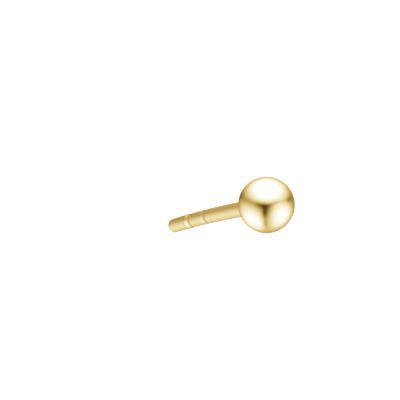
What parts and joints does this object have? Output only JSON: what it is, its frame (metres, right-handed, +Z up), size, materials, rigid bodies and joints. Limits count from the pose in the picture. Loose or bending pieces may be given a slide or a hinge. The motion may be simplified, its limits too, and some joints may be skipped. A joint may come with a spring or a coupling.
{
  "type": "ball stud earring",
  "caption": "Small polished gold-coloured ball soldered to a round ear post, with rolled grooves near the tip that catch a friction back.",
  "frame": {"origin": "middle of the bottom of the stud's box, on the surface that it lies on", "axes": "+Z up, the post points along -X and slopes down to its tip, the ball is at the +X end"},
  "size_m": [0.0124, 0.003, 0.003],
  "materials": {
    "gold": "mirror-polished gold plating on the ball, a little less bright on the drawn post"
  },
  "bodies": {
    "root": {"ball_stud": "gold"}
  },
  "joints": []
}
